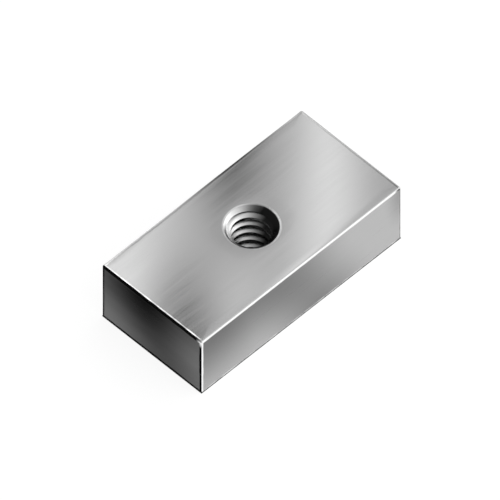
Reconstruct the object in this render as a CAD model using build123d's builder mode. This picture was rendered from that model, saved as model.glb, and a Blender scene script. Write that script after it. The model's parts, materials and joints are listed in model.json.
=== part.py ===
from build123d import *
import os

# A threaded plate: a short ground steel bar block with one tapped hole through its middle.
# Millimetres. The origin is on the hole's axis at the plate's underside, +X along the plate,
# +Y across it and +Z up the hole.

# Driving dimensions of the plate
plate_length = 25.4
plate_width = 12.7
plate_thickness = 7.3
edge_radius = 0.2

# Driving dimensions of the hole: a coarse number 10 thread with 24 turns to the inch
thread_diameter = 4.826
thread_pitch = 25.4 / 24
countersink_rim = 0.19

# The tap drill is one pitch smaller than the thread, and its wall is the thread's crest. Both
# mouths are countersunk at 90 degrees, past the thread's roots by the rim.
tap_drill_diameter = thread_diameter - thread_pitch
countersink_diameter = thread_diameter + 2 * countersink_rim
countersink_depth = (countersink_diameter - tap_drill_diameter) / 2

os.makedirs("parts", exist_ok=True)

with BuildPart() as threaded_plate:
    # The block, with every edge lightly rounded
    with BuildSketch():
        Rectangle(plate_length, plate_width)
    extrude(amount=plate_thickness)
    fillet(threaded_plate.edges(), radius=edge_radius)

    # The tapped hole, right through the middle of the plate from its top face
    top_face = threaded_plate.faces().sort_by(Axis.Z)[-1]
    with Locations(top_face):
        Hole(radius=tap_drill_diameter / 2)
    mouths = threaded_plate.edges(Select.LAST).filter_by(GeomType.CIRCLE)
    chamfer(mouths, length=countersink_depth)

threaded_plate.part.label = "threaded_plate"
export_step(threaded_plate.part, "parts/threaded_plate.step")
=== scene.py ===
import json
import math

import bmesh
import bpy
import numpy as np
from mathutils import Matrix, Vector


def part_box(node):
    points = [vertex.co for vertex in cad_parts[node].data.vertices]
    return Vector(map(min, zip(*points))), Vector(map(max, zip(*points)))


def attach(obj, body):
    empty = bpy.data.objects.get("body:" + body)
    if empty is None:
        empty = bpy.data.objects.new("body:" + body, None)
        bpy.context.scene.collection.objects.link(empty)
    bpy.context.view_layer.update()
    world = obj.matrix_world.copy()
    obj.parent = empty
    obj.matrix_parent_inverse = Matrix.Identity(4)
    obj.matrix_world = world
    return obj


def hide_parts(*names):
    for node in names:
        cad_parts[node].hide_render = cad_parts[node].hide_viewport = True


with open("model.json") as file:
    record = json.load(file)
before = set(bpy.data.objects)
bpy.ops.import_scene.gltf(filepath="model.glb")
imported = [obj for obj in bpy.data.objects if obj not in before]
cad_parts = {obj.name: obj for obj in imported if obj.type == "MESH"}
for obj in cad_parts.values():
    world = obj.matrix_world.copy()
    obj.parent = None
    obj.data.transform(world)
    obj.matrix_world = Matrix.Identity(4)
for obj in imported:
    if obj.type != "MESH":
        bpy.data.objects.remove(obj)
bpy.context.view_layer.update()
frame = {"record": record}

MM = 0.001

# The plate's own sizes, from the frame, the rounding of its edges, and how far wear rolls them
PLATE_LOW, PLATE_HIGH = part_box("threaded_plate")
HALF_LENGTH = (PLATE_HIGH.x - PLATE_LOW.x) / 2
HALF_WIDTH = (PLATE_HIGH.y - PLATE_LOW.y) / 2
THICKNESS = PLATE_HIGH.z - PLATE_LOW.z
PLATE_MIDDLE = (PLATE_LOW + PLATE_HIGH) / 2
EDGE_RADIUS = 0.2 * MM
EDGE_ROLL = 0.02 * MM

# The tapped hole: its crest and its wall's length are the record's mount, and the thread is a
# coarse number 10 with 24 turns to the inch
HOLE_DIMS = {m["name"]: m["dims"] for m in frame["record"]["mounts"]}["tapped_hole"]
CREST_RADIUS = HOLE_DIMS["r_mm"] * MM
COUNTERSINK_DEPTH = (THICKNESS - HOLE_DIMS["length_mm"] * MM) / 2
RIM_RADIUS = CREST_RADIUS + COUNTERSINK_DEPTH
RIM_ROUNDING = 0.15 * MM
THREAD_TURNS_PER_INCH = 24
THREAD_PITCH = 25.4 / THREAD_TURNS_PER_INCH * MM
THREAD_DIAMETER = 4.826 * MM
ROOT_RADIUS = THREAD_DIAMETER / 2
FLANK_SLOPE = math.tan(math.radians(30))
THREAD_PHASE = 0.577

# How finely the plate's surface is divided, which points merge and which edges stay sharp
COLUMNS = 288
CORNER_COLUMNS = 8
ROUNDING_STEPS = 6
FACE_STEPS = 6
FLANK_STEPS = 3
MERGE_DISTANCE = 2e-8
SHARP_ANGLE = math.radians(25)

# Where finishes meet on a rounded edge, in degrees of its turn, just before a row of points
HALFWAY_ROUND = 44
EARLY_ROUND = 14

# The photograph's parallel view: the plate's middle is at this pixel of the 500 pixel frame
VIEW_AZIMUTH = math.radians(-45)
VIEW_ELEVATION = math.radians(51.31)
FRAME_PIXELS = 500
PIXELS_PER_METRE = 11118
MIDDLE_PIXEL = (251.55, 251.5)


def cut_by_countersink(ridge_height):
    """One ridge of the thread as five corners, cut by the top countersink.

    A ridge is a trapezium in the section through the hole's axis: root, crest, crest, root. Each
    corner that the 45 degree cone has taken away slides along its own flank to the cone, and a
    root corner above the cone slides down to it. The middle of the crest stays midway between the
    crest's two ends, or lies on the cone's foot where the foot crosses the crest.
    Returns radii and heights, each an array of (5, columns).
    """
    half_root = THREAD_PITCH / 16
    flank = (ROOT_RADIUS - CREST_RADIUS) * FLANK_SLOPE
    half_crest = THREAD_PITCH / 2 - half_root - flank
    cone_apex = THICKNESS - RIM_RADIUS
    cone_at_root = cone_apex + ROOT_RADIUS
    cone_foot = cone_apex + CREST_RADIUS

    root_below = ridge_height - half_crest - flank
    crest_above = ridge_height + half_crest
    meets_below = (root_below + ROOT_RADIUS * FLANK_SLOPE - cone_apex) / (1 + FLANK_SLOPE)
    meets_above = (crest_above - CREST_RADIUS * FLANK_SLOPE - cone_apex) / (1 - FLANK_SLOPE)
    radius_below = np.clip(meets_below, CREST_RADIUS, ROOT_RADIUS)
    radius_above = np.clip(meets_above, CREST_RADIUS, ROOT_RADIUS)

    roots = np.full_like(ridge_height, ROOT_RADIUS)
    start = np.minimum(root_below + (ROOT_RADIUS - radius_below) * FLANK_SLOPE, cone_at_root)
    end = np.minimum(crest_above + (radius_above - CREST_RADIUS) * FLANK_SLOPE, cone_at_root)
    foot_on_crest = (meets_below <= CREST_RADIUS) & (cone_foot < crest_above)
    middle = np.where(foot_on_crest, cone_foot, (start + end) / 2)
    middle_radius = np.where(foot_on_crest, CREST_RADIUS, (radius_below + radius_above) / 2)

    radii = [roots, radius_below, middle_radius, radius_above, roots]
    heights = [
        np.minimum(root_below, cone_at_root),
        start,
        middle,
        end,
        np.minimum(crest_above + flank, cone_at_root),
    ]
    return np.array(radii), np.array(heights)


def between(rows, steps):
    """Rows with evenly spaced rows added between each one and the next, by straight lines."""
    share = np.arange(steps).reshape(1, steps, *[1] * (rows.ndim - 1)) / steps
    added = rows[:-1, None] * (1 - share) + rows[1:, None] * share
    return np.concatenate([added.reshape(-1, *rows.shape[1:]), rows[-1:]])


def thread_rows(angles):
    """The tapped wall from the lower to the upper countersink, in rows that climb with the thread.

    The ridge number k stands at the height pitch * (k + phase + angle / full turn), which is a
    right-hand helix. Ridges in the lower half are the upper ones turned over. The spare ridges at
    both ends, cut away by the countersinks, let the helix start and end there.
    """
    spare = 2
    turns = int(THICKNESS / THREAD_PITCH) + 1
    radii, heights = [], []
    for ridge in range(-spare, turns + spare):
        height = THREAD_PITCH * (ridge + THREAD_PHASE + angles / (2 * math.pi))
        above_radius, above_height = cut_by_countersink(height)
        below_radius, below_height = cut_by_countersink(THICKNESS - height)
        upper = height > THICKNESS / 2
        radii.append(np.where(upper, above_radius, below_radius[::-1]))
        heights.append(np.where(upper, above_height, THICKNESS - below_height[::-1]))
    radii = between(np.concatenate(radii), FLANK_STEPS)
    heights = between(np.concatenate(heights), FLANK_STEPS)
    return np.stack([radii * np.cos(angles), radii * np.sin(angles), heights], axis=-1)


def rim_rows(angles):
    """The hole's top mouth: a small arc from the 45 degree cone to the flat top face."""
    tangent = RIM_ROUNDING * math.tan(math.radians(22.5))
    lean = np.radians(np.linspace(45, 0, ROUNDING_STEPS))[:, None]
    radius = RIM_RADIUS + tangent - RIM_ROUNDING * np.sin(lean) + 0 * angles
    height = THICKNESS - RIM_ROUNDING + RIM_ROUNDING * np.cos(lean) + 0 * angles
    return np.stack([radius * np.cos(angles), radius * np.sin(angles), height], axis=-1)


def outline(columns):
    """The plate's outline inside its rounded edges: for each column a point of that rectangle and
    the direction of the edge's rounding there, which turns a right angle at each corner."""
    corner_angle = math.atan2(HALF_WIDTH, HALF_LENGTH)
    corner_angles = [corner_angle, math.pi - corner_angle, math.pi + corner_angle, -corner_angle]
    middles = [round(COLUMNS * (a % (2 * math.pi)) / (2 * math.pi)) for a in corner_angles]
    stops = [m + side * CORNER_COLUMNS // 2 for m in middles for side in (-1, 1)]
    inset_x, inset_y = HALF_LENGTH - EDGE_RADIUS, HALF_WIDTH - EDGE_RADIUS
    keys = [0, *stops, COLUMNS]
    x = np.interp(columns, keys, inset_x * np.array([1, 1, 1, -1, -1, -1, -1, 1, 1, 1]))
    y = np.interp(columns, keys, inset_y * np.array([0, 1, 1, 1, 1, -1, -1, -1, -1, 0]))
    turn = np.interp(columns, keys, math.pi / 2 * np.array([0, 0, 1, 1, 2, 2, 3, 3, 4, 4]))
    return np.stack([x, y], axis=-1), np.stack([np.cos(turn), np.sin(turn)], axis=-1)


def outer_rows(columns, inner_circle):
    """The outside from the top mouth to the bottom mouth: the top face between the mouth's circle
    and the outline, a quarter round, the side, a quarter round and the bottom face."""
    inset, outward = outline(columns)
    edge_height = THICKNESS - EDGE_RADIUS
    share = np.linspace(0, 1, FACE_STEPS + 1)[1:-1, None, None]
    face = inner_circle[None, :, :2] * (1 - share) + inset * share
    lean = np.radians(np.linspace(0, 90, ROUNDING_STEPS + 1))[:, None, None]
    round_plan = inset + EDGE_RADIUS * np.sin(lean) * outward
    round_height = edge_height + EDGE_RADIUS * np.cos(lean[..., 0]) + 0 * columns
    plan = np.concatenate([face, round_plan])
    height = np.concatenate([np.full(face.shape[:2], THICKNESS), round_height])
    top = np.concatenate([plan, height[..., None]], axis=-1)
    bottom = top[::-1].copy()
    bottom[..., 2] = THICKNESS - bottom[..., 2]
    return np.concatenate([top, bottom])


def inset_at(turn):
    """How far inside the outline an edge's rounding is where it has turned so many degrees."""
    return EDGE_RADIUS * (1 - math.sin(math.radians(turn)))


def finish_numbers(corners, tapped_rows):
    """The finish of each face, from its corners: 0 for the ground top and bottom, 1 for the long
    sides, 2 for the cut ends and 3 for the tapped hole. The long sides begin halfway round an
    edge. The ends begin early round their top and bottom edges and halfway round the upright
    ones."""
    from_middle = np.abs(corners[..., 2] - THICKNESS / 2).max(axis=-1)
    below_rounding = THICKNESS / 2 - 0.9 * EDGE_RADIUS
    upright = from_middle < below_rounding
    to_end = HALF_LENGTH - np.abs(corners[..., 0]).min(axis=-1)
    to_side = HALF_WIDTH - np.abs(corners[..., 1]).min(axis=-1)
    end_begins = np.where(upright, inset_at(HALFWAY_ROUND), inset_at(EARLY_ROUND))
    finishes = np.zeros(corners.shape[:2], np.int32)
    finishes[upright | (to_side < inset_at(HALFWAY_ROUND))] = 1
    finishes[to_end < end_begins] = 2
    finishes[:tapped_rows] = 3
    return finishes


def closed_surface(name, rows, tapped_rows):
    """A mesh from rows of points round the axis, with the last row joined to the first. Points
    that coincide are merged."""
    row_count, column_count = rows.shape[:2]
    points = rows.reshape(-1, 3)
    index = np.arange(row_count * column_count).reshape(row_count, column_count)
    above = np.roll(index, -1, axis=0)
    quads = np.stack([index[:, :-1], above[:, :-1], above[:, 1:], index[:, 1:]], axis=-1)
    finishes = finish_numbers(points[quads], tapped_rows)
    mesh = bpy.data.meshes.new(name)
    mesh.from_pydata(points.tolist(), [], quads.reshape(-1, 4).tolist())
    mesh.polygons.foreach_set("material_index", finishes.ravel())
    work = bmesh.new()
    work.from_mesh(mesh)
    bmesh.ops.remove_doubles(work, verts=work.verts, dist=MERGE_DISTANCE)
    work.to_mesh(mesh)
    work.free()
    mesh.shade_smooth()
    mesh.set_sharp_from_angle(angle=SHARP_ANGLE)
    piece = bpy.data.objects.new(name, mesh)
    bpy.context.scene.collection.objects.link(piece)
    return piece


def make_plate():
    """The threaded plate as one closed surface: the section through the hole's axis is carried
    once round the axis, so every row is a loop round the hole."""
    columns = np.arange(COLUMNS + 1)
    angles = 2 * math.pi * columns / COLUMNS
    top_mouth = rim_rows(angles)
    bottom_mouth = top_mouth[::-1].copy()
    bottom_mouth[..., 2] = THICKNESS - bottom_mouth[..., 2]
    thread = thread_rows(angles)
    outside = outer_rows(columns, top_mouth[-1])
    rows = np.concatenate([bottom_mouth, thread, top_mouth, outside])
    tapped_rows = len(bottom_mouth) + len(thread) + len(top_mouth) - 1
    return closed_surface("plate_body", rows, tapped_rows)


# Node helpers


def set_inputs(tree, node, inputs):
    """Gives each named or numbered socket its value, or a link where the value is a socket."""
    for name, value in inputs.items():
        if isinstance(value, bpy.types.NodeSocket):
            tree.links.new(value, node.inputs[name])
        else:
            node.inputs[name].default_value = value


def add_node(tree, kind, inputs=None, **settings):
    """A new node with its settings and inputs."""
    node = tree.nodes.new(kind)
    for name, value in settings.items():
        setattr(node, name, value)
    set_inputs(tree, node, inputs or {})
    return node


def work_out(tree, operation, *values):
    """The result of one Math node."""
    return add_node(tree, "ShaderNodeMath", dict(enumerate(values)), operation=operation).outputs[0]


def work_out_vector(tree, operation, *values):
    """The node of one Vector Math step."""
    return add_node(tree, "ShaderNodeVectorMath", dict(enumerate(values)), operation=operation)


def soft_ramp(tree, value, start, end, low=0.0, high=1.0):
    """A soft ramp from low at start to high at end."""
    inputs = {"Value": value, "From Min": start, "From Max": end, "To Min": low, "To Max": high}
    node = add_node(tree, "ShaderNodeMapRange", inputs, interpolation_type="SMOOTHSTEP")
    return node.outputs["Result"]


def stretched(tree, position, scale):
    """The position with its axes scaled, so that a pattern is drawn out along one of them."""
    inputs = {"Vector": position, "Scale": scale}
    return add_node(tree, "ShaderNodeMapping", inputs).outputs["Vector"]


def new_group(name, inputs, outputs):
    """An empty shared group: its tree, the sockets it is given and the sockets it makes."""
    tree = bpy.data.node_groups.new(name, "ShaderNodeTree")
    for socket, kind in inputs.items():
        tree.interface.new_socket(socket, in_out="INPUT", socket_type="NodeSocket" + kind)
    for socket in outputs:
        tree.interface.new_socket(socket, in_out="OUTPUT", socket_type="NodeSocketFloat")
    given = tree.nodes.new("NodeGroupInput").outputs
    made = tree.nodes.new("NodeGroupOutput").inputs
    return tree, given, made


def from_group(tree, group, inputs):
    """The outputs of a shared group, placed with its own values."""
    node = tree.nodes.new("ShaderNodeGroup")
    node.node_tree = group
    set_inputs(tree, node, inputs)
    return node.outputs


# Effects that several finishes share


def soft_patch_group():
    """A mask that is 1 at its centre and falls smoothly to 0 at its reach along each of its own
    axes, which can be turned."""
    sockets = {"Position": "Vector", "Centre": "Vector", "Turn": "Vector", "Reach": "Vector"}
    tree, given, made = new_group("soft_patch", sockets, ["Mask"])
    place = {"Vector": given["Position"], "Location": given["Centre"]}
    place |= {"Rotation": given["Turn"], "Scale": given["Reach"]}
    own = add_node(tree, "ShaderNodeMapping", place, vector_type="TEXTURE").outputs["Vector"]
    size = work_out_vector(tree, "LENGTH", own).outputs["Value"]
    tree.links.new(soft_ramp(tree, size, 0, 1, 1, 0), made["Mask"])
    return tree


def worn_edge_group():
    """A mask along edges, for wear and for painted highlights and shade: 1 at the edge, gone at the
    reach, and broken up by fine noise.
    """
    sockets = {"Position": "Vector", "Distance": "Float", "Reach": "Float"}
    tree, given, made = new_group("worn_edge", sockets, ["Worn"])
    inputs = {"Vector": given["Position"], "Scale": 900, "Detail": 3}
    noise = add_node(tree, "ShaderNodeTexNoise", inputs)
    uneven = soft_ramp(tree, noise.outputs["Fac"], 0.3, 0.7, 0.88, 1.05)
    reach = work_out(tree, "MULTIPLY", given["Reach"], uneven)
    share = work_out(tree, "DIVIDE", given["Distance"], reach)
    tree.links.new(soft_ramp(tree, share, 0.5, 1, 1, 0), made["Worn"])
    return tree


def grinding_marks_group():
    """Fine straight marks along one axis, as a tone and a height about 0.5. Drawn Out is the
    position scaled down along the marks."""
    coarse_share = 0.22
    sockets = {"Drawn Out": "Vector", "Scale": "Float"}
    tree, given, made = new_group("grinding_marks", sockets, ["Tone", "Height"])
    inputs = {"Vector": given["Drawn Out"], "Scale": given["Scale"], "Detail": 4}
    fine = add_node(tree, "ShaderNodeTexNoise", inputs).outputs["Fac"]
    inputs["Scale"] = work_out(tree, "MULTIPLY", given["Scale"], coarse_share)
    coarse = add_node(tree, "ShaderNodeTexNoise", inputs).outputs["Fac"]
    both = work_out(tree, "ADD", fine, coarse)
    tree.links.new(work_out(tree, "MULTIPLY", both, 0.5), made["Tone"])
    tree.links.new(fine, made["Height"])
    return tree


SOFT_PATCH = soft_patch_group()
EDGE_WEAR_AND_SHADING = worn_edge_group()
GRINDING_MARKS = grinding_marks_group()


# Steel finishes

# The middle value of the marks' tone, how much the roughness varies with it, and how much
# smoother worn steel is
MARKS_MIDDLE = 0.5
ROUGHNESS_DEPTH = 0.2
WORN_SMOOTHER = 0.1

# For soft patches: a reach that makes a patch the same all along an axis, and no turn
ENDLESS = 1000
NO_TURN = (0, 0, 0)


def bare_steel(name):
    """A bare steel material: the material, its tree, its shader and the Object position."""
    material = bpy.data.materials.new(name)
    material.use_nodes = True
    tree = material.node_tree
    shader = tree.nodes["Principled BSDF"]
    shader.inputs["Metallic"].default_value = 1
    position = add_node(tree, "ShaderNodeTexCoord").outputs["Object"]
    return material, tree, shader, position


def grey(tree, value):
    """A grey colour from a value."""
    node = add_node(tree, "ShaderNodeCombineColor", {"Red": value, "Green": value, "Blue": value})
    return node.outputs["Color"]


def with_patches(tree, position, base, patches):
    """A base value with soft patches added: each is its centre, its reach, its turn about X, Y and
    Z in degrees and the change at its centre, with lengths in millimetres."""
    total = base
    for centre, reach, turn, change in patches:
        place = {"Position": position, "Centre": Vector(centre) * MM, "Reach": Vector(reach) * MM}
        place["Turn"] = [math.radians(angle) for angle in turn]
        mask = from_group(tree, SOFT_PATCH, place)["Mask"]
        total = work_out(tree, "MULTIPLY_ADD", mask, change, total)
    return total


def plate_edge_distance(tree, position, long_share):
    """How far a point of the outside is from the nearest edge of the block: the smallest, over the
    three pairs of faces, of the larger distance to the two faces of a pair. The distance to a
    long edge counts by its own share."""
    offset = work_out_vector(tree, "SUBTRACT", position, PLATE_MIDDLE)
    size = work_out_vector(tree, "ABSOLUTE", offset.outputs[0])
    half_size = (HALF_LENGTH, HALF_WIDTH, THICKNESS / 2)
    inward = work_out_vector(tree, "SUBTRACT", half_size, size.outputs[0])
    axes = add_node(tree, "ShaderNodeSeparateXYZ", {0: inward.outputs[0]}).outputs
    upright = work_out(tree, "MAXIMUM", axes["X"], axes["Y"])
    along = work_out(tree, "MAXIMUM", axes["Y"], axes["Z"])
    along = work_out(tree, "MULTIPLY", along, long_share)
    across = work_out(tree, "MAXIMUM", axes["Z"], axes["X"])
    return work_out(tree, "MINIMUM", upright, work_out(tree, "MINIMUM", along, across))


def axis_distance(tree, position):
    """How far a point is from the hole's axis."""
    flat = stretched(tree, position, (1, 1, 0))
    return work_out_vector(tree, "LENGTH", flat).outputs["Value"]


def finish_steel(tree, shader, base, marks, worn, worn_tone, tone_depth, roughness, bump):
    """Joins the tones into the shader: the base grey varied by the marks' tone, and another tone
    along the edges, of wear and of painted highlights and shade, smoother and a little rolled over
    there."""
    about_zero = work_out(tree, "SUBTRACT", marks["Tone"], MARKS_MIDDLE)
    varied = work_out(tree, "MULTIPLY_ADD", about_zero, tone_depth, 1)
    toned = work_out(tree, "MULTIPLY", base, varied)
    to_worn_tone = work_out(tree, "SUBTRACT", worn_tone, toned)
    all_tones = work_out(tree, "MULTIPLY_ADD", worn, to_worn_tone, toned)
    rough = work_out(tree, "MULTIPLY_ADD", about_zero, ROUGHNESS_DEPTH, roughness)
    smoother = work_out(tree, "MULTIPLY_ADD", worn, -WORN_SMOOTHER, rough)
    rolled = work_out(tree, "MULTIPLY", worn, -EDGE_ROLL / bump)
    height = work_out(tree, "ADD", marks["Height"], rolled)
    relief = {"Height": height, "Strength": 1.0, "Distance": bump}
    normal = add_node(tree, "ShaderNodeBump", relief).outputs["Normal"]
    inputs = {"Base Color": grey(tree, all_tones), "Roughness": smoother, "Normal": normal}
    set_inputs(tree, shader, inputs)


def edge_wear_and_shading(tree, position, reach, long_share=1):
    """The mask along the block's own edges, for wear and for painted highlights and shade."""
    distance = plate_edge_distance(tree, position, long_share)
    edge = {"Position": position, "Distance": distance, "Reach": reach}
    return from_group(tree, EDGE_WEAR_AND_SHADING, edge)["Worn"]


def ground_edge_tone(tree, position, axes):
    """The tone of the ground faces' edges: bright with wear and painted highlight, with a stretch
    of the back edge darkened as painted shade, and a little uneven along the others."""
    bright = 0.92
    far_tone = 0.85
    band = 0.3 * MM
    fade = 0.7 * MM
    back_edge = HALF_WIDTH - band
    far_edge = HALF_LENGTH - band
    # Painted shade: a dark line along a stretch of the back edge.
    painted_back_edge_shade = [((3.8, 0, 0), (9.5, ENDLESS, ENDLESS), NO_TURN, -0.87)]
    back_tone = with_patches(tree, position, 0.97, painted_back_edge_shade)
    by_side = soft_ramp(tree, axes["Y"], back_edge - fade, back_edge, bright, back_tone)
    by_end = soft_ramp(tree, axes["X"], far_edge - fade, far_edge, bright, far_tone)
    patches = [
        ((-12.7, -2.3, 0), (1.2, 3.2, ENDLESS), NO_TURN, -0.24),
        ((12.7, -0.3, 0), (1.2, 6, ENDLESS), NO_TURN, 0.13),
        ((12.7, 6.35, 0), (2, 3, ENDLESS), NO_TURN, -0.15),
        ((0, -6.35, 0), (ENDLESS, 1.2, ENDLESS), NO_TURN, -0.08),
    ]
    return with_patches(tree, position, work_out(tree, "MINIMUM", by_side, by_end), patches)


def painted_mouth_highlight(tree, position):
    """A painted highlight: the brighter ring round the hole's mouth, on the right as the photograph
    shows it.
    """
    to_mouth = work_out(tree, "SUBTRACT", axis_distance(tree, position), RIM_RADIUS)
    mouth = {"Position": position, "Distance": to_mouth, "Reach": 0.17 * MM}
    ring = from_group(tree, EDGE_WEAR_AND_SHADING, mouth)["Worn"]
    front = [((1.6, -2, 0), (4.6, 4.6, ENDLESS), NO_TURN, 0.4)]
    return work_out(tree, "MULTIPLY", ring, with_patches(tree, position, 0, front))


def ground_faces():
    """The ground top and bottom: bright, with fine marks along the plate, and brightest along the
    edges, with wear and painted highlights, and on one side of the hole's mouth, a painted
    highlight.
    The bright line along the front edge is narrower than the one along the back edge."""
    ground_tone = 0.6
    material, tree, shader, position = bare_steel("ground_faces")
    drawn_out = stretched(tree, position, (0.03, 1, 1))
    marks = from_group(tree, GRINDING_MARKS, {"Drawn Out": drawn_out, "Scale": 9000})
    axes = add_node(tree, "ShaderNodeSeparateXYZ", {0: position}).outputs
    narrower_in_front = soft_ramp(tree, axes["Y"], -HALF_WIDTH, HALF_WIDTH, 2.6, 0.8)
    worn = edge_wear_and_shading(tree, position, 0.32 * MM, narrower_in_front)
    worn_tone = ground_edge_tone(tree, position, axes)
    base = work_out(tree, "ADD", painted_mouth_highlight(tree, position), ground_tone)
    amounts = {"tone_depth": 0.12, "roughness": 0.21, "bump": 0.0002 * MM}
    finish_steel(tree, shader, base, marks, worn, worn_tone, **amounts)
    return material


def drawn_sides():
    """The long sides: duller drawn steel, darker partly as painted shade, with marks along the
    plate, darker slanting bands of painted reflection and shade, and bright edges of wear and
    painted highlight, apart from the upright ones at one end, which are painted dark as shade."""
    # The base is darker than the top's partly as painted shade.
    drawn_tone = 0.47
    bright = 0.97
    far_end_edge_shade_tone = 0.1
    material, tree, shader, position = bare_steel("drawn_sides")
    drawn_out = stretched(tree, position, (0.03, 1, 1))
    marks = from_group(tree, GRINDING_MARKS, {"Drawn Out": drawn_out, "Scale": 9000})
    worn = edge_wear_and_shading(tree, position, 0.3 * MM)
    # Painted reflection and shade: darker slanting bands and patches on the long sides.
    patches = [
        ((-11, 0, 7.7), (20, ENDLESS, 10), (0, -8, 0), -0.33),
        ((2.2, 0, 0), (15, ENDLESS, 7), (0, 59, 0), -0.26),
        ((12.9, 0, 6.6), (2.6, ENDLESS, 5.5), NO_TURN, -0.17),
    ]
    base = with_patches(tree, position, drawn_tone, patches)
    along = add_node(tree, "ShaderNodeSeparateXYZ", {0: position}).outputs["X"]
    # Painted shade: the edges at the far end are dark.
    far_end_shade_start = HALF_LENGTH - 0.3 * MM
    worn_tone = soft_ramp(tree, along, far_end_shade_start - 0.6 * MM, far_end_shade_start, bright, far_end_edge_shade_tone)
    amounts = {"tone_depth": 0.15, "roughness": 0.3, "bump": 0.001 * MM}
    finish_steel(tree, shader, base, marks, worn, worn_tone, **amounts)
    return material


def cut_ends():
    """The cut ends: rougher, and dark partly as a cut finish and partly as painted shade, with
    marks across the plate, darkest under the top edge as painted shade, and with no bright sheen at
    glancing angles. The edges of the near end are painted dark as shade, apart from two spots of
    painted highlight, and those of the far end are bright with wear and painted highlight."""
    # The dark tone is partly a cut finish and partly painted shade.
    cut_tone = 0.27
    near_end_edge_shade_tone = 0.008
    bright = 0.8
    material, tree, shader, position = bare_steel("cut_ends")
    shader.inputs["Specular Tint"].default_value = (0, 0, 0, 1)
    drawn_out = stretched(tree, position, (1, 0.04, 1))
    marks = from_group(tree, GRINDING_MARKS, {"Drawn Out": drawn_out, "Scale": 7000})
    worn = edge_wear_and_shading(tree, position, 0.4 * MM)
    # Painted shade: darkest under the top edge.
    patches = [
        ((0, 0.7, 7.4), (ENDLESS, 12, 6.7), (-16, 0, 0), -0.235),
        ((0, -1, 1.4), (ENDLESS, 7.3, 6), (14, 0, 0), -0.13),
    ]
    base = with_patches(tree, position, cut_tone, patches)
    along = add_node(tree, "ShaderNodeSeparateXYZ", {0: position}).outputs["X"]
    # Painted shade: the near end's edges are dark, brightening towards the far end.
    shade_to_bright_edges = soft_ramp(tree, along, -HALF_LENGTH, HALF_LENGTH, near_end_edge_shade_tone, bright)
    # Painted highlights: a bright spot at the near end's top front corner and a lighter one on its
    # back upright edge.
    painted_highlight_spots = [
        ((-12.65, -6.3, 7.2), (0.75, 0.75, 0.9), NO_TURN, 0.95),
        ((-12.7, 6.35, 2.4), (1.5, 2, 4.6), NO_TURN, 0.12),
    ]
    worn_tone = with_patches(tree, position, shade_to_bright_edges, painted_highlight_spots)
    amounts = {"tone_depth": 0.3, "roughness": 0.42, "bump": 0.002 * MM}
    finish_steel(tree, shader, base, marks, worn, worn_tone, **amounts)
    return material


def hole_shading_tone(tree, radius, height):
    """The hole's tone before the painted shade and light on its two sides: the thread is bright at
    its crests as painted highlight and darker in its roots as painted shade, and both the thread
    and the countersinks are dark at the countersinks' feet, also painted shade."""
    crest_tone = 0.95
    flank_tone = 0.62
    root_tone = 0.45
    cone_tone = 0.46
    groove = ROOT_RADIUS - CREST_RADIUS
    flank_begins = CREST_RADIUS + 0.15 * groove
    root_begins = CREST_RADIUS + 0.75 * groove
    flank = soft_ramp(tree, radius, CREST_RADIUS, flank_begins, crest_tone, flank_tone)
    root = soft_ramp(tree, radius, root_begins, ROOT_RADIUS, flank_tone, root_tone)
    from_middle = work_out(tree, "ABSOLUTE", work_out(tree, "SUBTRACT", height, THICKNESS / 2))
    foot = THICKNESS / 2 - COUNTERSINK_DEPTH
    below_foot = soft_ramp(tree, from_middle, foot - 0.2 * MM, foot, 1, 0)
    thread = work_out(tree, "MULTIPLY", work_out(tree, "MINIMUM", flank, root), below_foot)
    above_foot = THICKNESS / 2 - 0.7 * COUNTERSINK_DEPTH
    cone = soft_ramp(tree, from_middle, foot, above_foot, 0, cone_tone)
    return work_out(tree, "MAXIMUM", thread, cone)


def tapped_hole():
    """The tapped and countersunk hole: marks round the axis, rims with wear and a painted
    highlight, one side darkened as painted shade and the other lightened as painted light."""
    darkest = 0.03
    lightest = 0.95
    rim_tone = 0.6
    material, tree, shader, position = bare_steel("tapped_hole")
    radius = axis_distance(tree, position)
    height = add_node(tree, "ShaderNodeSeparateXYZ", {0: position}).outputs["Z"]
    section = add_node(tree, "ShaderNodeCombineXYZ", {"X": radius, "Z": height}).outputs[0]
    marks = from_group(tree, GRINDING_MARKS, {"Drawn Out": section, "Scale": 12000})
    to_rim = work_out(tree, "ABSOLUTE", work_out(tree, "SUBTRACT", radius, RIM_RADIUS))
    edge = {"Position": position, "Distance": to_rim, "Reach": 0.08 * MM}
    worn = from_group(tree, EDGE_WEAR_AND_SHADING, edge)["Worn"]
    # Painted shade on the wall on one side and painted light on the wall across from it.
    painted_wall_shade_and_light = [
        ((1.8, -1.3, 0), (3.8, 3.8, ENDLESS), NO_TURN, -1),
        ((-2, 1.4, 0), (3.3, 3.3, ENDLESS), NO_TURN, 0.95),
    ]
    thread_shading = hole_shading_tone(tree, radius, height)
    shaded_hole_tone = with_patches(tree, position, thread_shading, painted_wall_shade_and_light)
    base = work_out(tree, "MINIMUM", work_out(tree, "MAXIMUM", shaded_hole_tone, darkest), lightest)
    # Painted highlight: a brighter rim on one side.
    painted_rim_highlight = [((1.8, -2.1, 0), (3.4, 3.4, ENDLESS), NO_TURN, 0.4)]
    worn_tone = with_patches(tree, position, rim_tone, painted_rim_highlight)
    amounts = {"tone_depth": 0.15, "roughness": 0.24, "bump": 0.001 * MM}
    finish_steel(tree, shader, base, marks, worn, worn_tone, **amounts)
    return material


plate = make_plate()
for finish in (ground_faces(), drawn_sides(), cut_ends(), tapped_hole()):
    plate.data.materials.append(finish)
flat = plate.modifiers.new("faces_shade_flat", "WEIGHTED_NORMAL")
flat.keep_sharp = True
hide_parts("threaded_plate")
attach(plate, "root")


# Camera, floor and light


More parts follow.
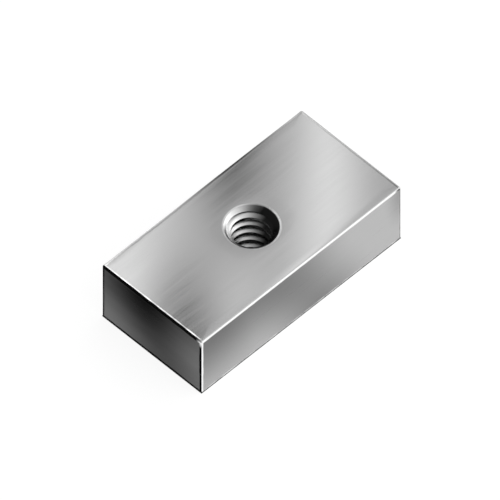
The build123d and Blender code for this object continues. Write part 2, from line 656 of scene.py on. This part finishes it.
def view_axes():
    """The camera's right, up and backward directions."""
    back = Vector(
        (
            math.sin(VIEW_AZIMUTH) * math.cos(VIEW_ELEVATION),
            -math.cos(VIEW_AZIMUTH) * math.cos(VIEW_ELEVATION),
            math.sin(VIEW_ELEVATION),
        )
    )
    right = Vector((math.cos(VIEW_AZIMUTH), math.sin(VIEW_AZIMUTH), 0))
    return right, back.cross(right), back


VIEW_RIGHT, VIEW_UP, VIEW_BACK = view_axes()

# The direction that the top face mirrors to the camera
MIRROR = Vector((-VIEW_BACK.x, -VIEW_BACK.y, VIEW_BACK.z))
CARD_DISTANCE = 30 * MM
CARD_HALF_SIZE = (25 * MM, 32 * MM)


def stand_at(name, data, place, axes):
    """An object at a place, with its own three axes along the given directions."""
    made = bpy.data.objects.new(name, data)
    bpy.context.scene.collection.objects.link(made)
    made.matrix_world = Matrix.Translation(place) @ Matrix(axes).transposed().to_4x4()
    return made


def make_camera():
    """The photograph's camera, which has no perspective."""
    distance = 0.3
    data = bpy.data.cameras.new("view")
    data.type = "ORTHO"
    data.ortho_scale = FRAME_PIXELS / PIXELS_PER_METRE
    data.clip_start = 0.001
    data.clip_end = 10
    across = (FRAME_PIXELS / 2 - MIDDLE_PIXEL[0]) / PIXELS_PER_METRE
    down = (FRAME_PIXELS / 2 - MIDDLE_PIXEL[1]) / PIXELS_PER_METRE
    place = PLATE_MIDDLE + across * VIEW_RIGHT - down * VIEW_UP + distance * VIEW_BACK
    camera = stand_at("view", data, place, (VIEW_RIGHT, VIEW_UP, VIEW_BACK))
    bpy.context.scene.camera = camera


def seen_directly(tree):
    """1 for rays from the camera and for reflected and refracted rays, and 0 for soft light."""
    path = add_node(tree, "ShaderNodeLightPath").outputs
    either = work_out(tree, "MAXIMUM", path["Is Camera Ray"], path["Is Glossy Ray"])
    return work_out(tree, "MAXIMUM", either, path["Is Transmission Ray"])


def make_floor():
    """A plain pale floor that keeps the plate's shadow: part of its white shows by itself, but
    not beneath the plate."""
    half = 3.0
    glow = 0.88
    colour = 0.25
    mesh = bpy.data.meshes.new("floor")
    corners = [(-half, -half, 0), (half, -half, 0), (half, half, 0), (-half, half, 0)]
    mesh.from_pydata(corners, [], [(0, 1, 2, 3)])
    material = bpy.data.materials.new("floor")
    material.use_nodes = True
    tree = material.node_tree
    shader = tree.nodes["Principled BSDF"]
    shader.inputs["Base Color"].default_value = (colour, colour, colour, 1)
    shader.inputs["Roughness"].default_value = 1
    shader.inputs["Specular IOR Level"].default_value = 0
    shader.inputs["Emission Color"].default_value = (1, 1, 1, 1)
    position = add_node(tree, "ShaderNodeTexCoord").outputs["Object"]
    share = work_out_vector(tree, "DIVIDE", position, (HALF_LENGTH, HALF_WIDTH, 1))
    size = work_out_vector(tree, "ABSOLUTE", share.outputs[0])
    axes = add_node(tree, "ShaderNodeSeparateXYZ", {0: size.outputs[0]}).outputs
    beside = work_out(tree, "GREATER_THAN", work_out(tree, "MAXIMUM", axes["X"], axes["Y"]), 1)
    lit = work_out(tree, "MULTIPLY", seen_directly(tree), beside)
    strength = work_out(tree, "MULTIPLY", lit, glow)
    tree.links.new(strength, shader.inputs["Emission Strength"])
    mesh.materials.append(material)
    floor = bpy.data.objects.new("floor", mesh)
    bpy.context.scene.collection.objects.link(floor)


def make_studio_world():
    """Soft light from all round, brighter from the right and a little dimmer from the front, and
    plain white below the horizon, where the floor ends."""
    left_light = 0.26
    right_light = 1.2
    front_change = -0.3
    world = bpy.data.worlds.new("studio")
    world.use_nodes = True
    tree = world.node_tree
    direction = add_node(tree, "ShaderNodeTexCoord").outputs["Generated"]
    side = work_out_vector(tree, "DOT_PRODUCT", direction, VIEW_RIGHT)
    even = soft_ramp(tree, side.outputs["Value"], -0.6, 0.8, left_light, right_light)
    front = {"Position": direction, "Centre": (-0.6, -0.6, 0.5), "Reach": (0.8, 0.8, 0.8)}
    dimmer = from_group(tree, SOFT_PATCH, front)["Mask"]
    light = work_out(tree, "MULTIPLY_ADD", dimmer, front_change, even)
    height = add_node(tree, "ShaderNodeSeparateXYZ", {0: direction}).outputs["Z"]
    below = work_out(tree, "LESS_THAN", height, 0)
    strength = work_out(tree, "MAXIMUM", light, below)
    tree.links.new(strength, tree.nodes["Background"].inputs["Strength"])
    tree.nodes["Background"].inputs["Color"].default_value = (1, 1, 1, 1)
    bpy.context.scene.world = world


def reflection_card(name, place, axes, strength, patches):
    """A card that only reflections see, with soft lighter and darker patches on it. It neither
    lights the floor nor shades it."""
    x, y = CARD_HALF_SIZE
    mesh = bpy.data.meshes.new(name)
    mesh.from_pydata([(-x, -y, 0), (x, -y, 0), (x, y, 0), (-x, y, 0)], [], [(0, 1, 2, 3)])
    material = bpy.data.materials.new(name)
    material.use_nodes = True
    tree = material.node_tree
    shader = tree.nodes["Principled BSDF"]
    shader.inputs["Base Color"].default_value = (0, 0, 0, 1)
    shader.inputs["Specular IOR Level"].default_value = 0
    shader.inputs["Emission Color"].default_value = (1, 1, 1, 1)
    position = add_node(tree, "ShaderNodeTexCoord").outputs["Object"]
    shown = work_out(tree, "MAXIMUM", with_patches(tree, position, strength, patches), 0)
    set_inputs(tree, shader, {"Emission Strength": shown})
    mesh.materials.append(material)
    card = stand_at(name, mesh, place, axes)
    card.visible_camera = False
    card.visible_diffuse = False
    card.visible_shadow = False


def overhead_card():
    """The card that the top face mirrors to the camera. A point of it shows at the same place
    across and up the picture, measured from the middle of the top face."""
    plain_light = 0.65
    upward = MIRROR.cross(VIEW_RIGHT)
    place = Vector((0, 0, THICKNESS)) + CARD_DISTANCE * MIRROR
    patches = [
        ((7, 0.5, 0), (4.4, 35, ENDLESS), NO_TURN, 0.69),
        ((-11.6, -4.6, 0), (6.7, 13, ENDLESS), (0, 0, -26), 0.77),
        ((-6.3, -10.5, 0), (4.6, 13, ENDLESS), (0, 0, 9), -0.75),
        ((-1.8, 5.6, 0), (4.6, 9, ENDLESS), NO_TURN, -0.56),
        ((-1.1, -7.2, 0), (3.8, 5.8, ENDLESS), NO_TURN, 0.39),
        ((-16.5, -15, 0), (17, 9, ENDLESS), (0, 0, -37), 1),
        ((-11, 12, 0), (24, 9, ENDLESS), (0, 0, 37), -0.25),
        ((20.4, 10.2, 0), (13, 9, ENDLESS), (0, 0, -37), -0.5),
        ((13.5, 3, 0), (6, 2.4, ENDLESS), (0, 0, 37), -0.18),
        ((-19, 19, 0), (16, 7, ENDLESS), (0, 0, 60), 0.6),
        ((-28, -26, 0), (16, 16, ENDLESS), NO_TURN, -0.65),
        ((-22, 3, 0), (8, 9, ENDLESS), NO_TURN, 0.8),
        ((13, -14.5, 0), (30, 11, ENDLESS), (0, 0, 37), 0.2),
    ]
    axes = (VIEW_RIGHT, upward, MIRROR)
    reflection_card("overhead_card", place, axes, plain_light, patches)


make_camera()
make_floor()
make_studio_world()
overhead_card()

bpy.context.scene.view_settings.view_transform = "Standard"
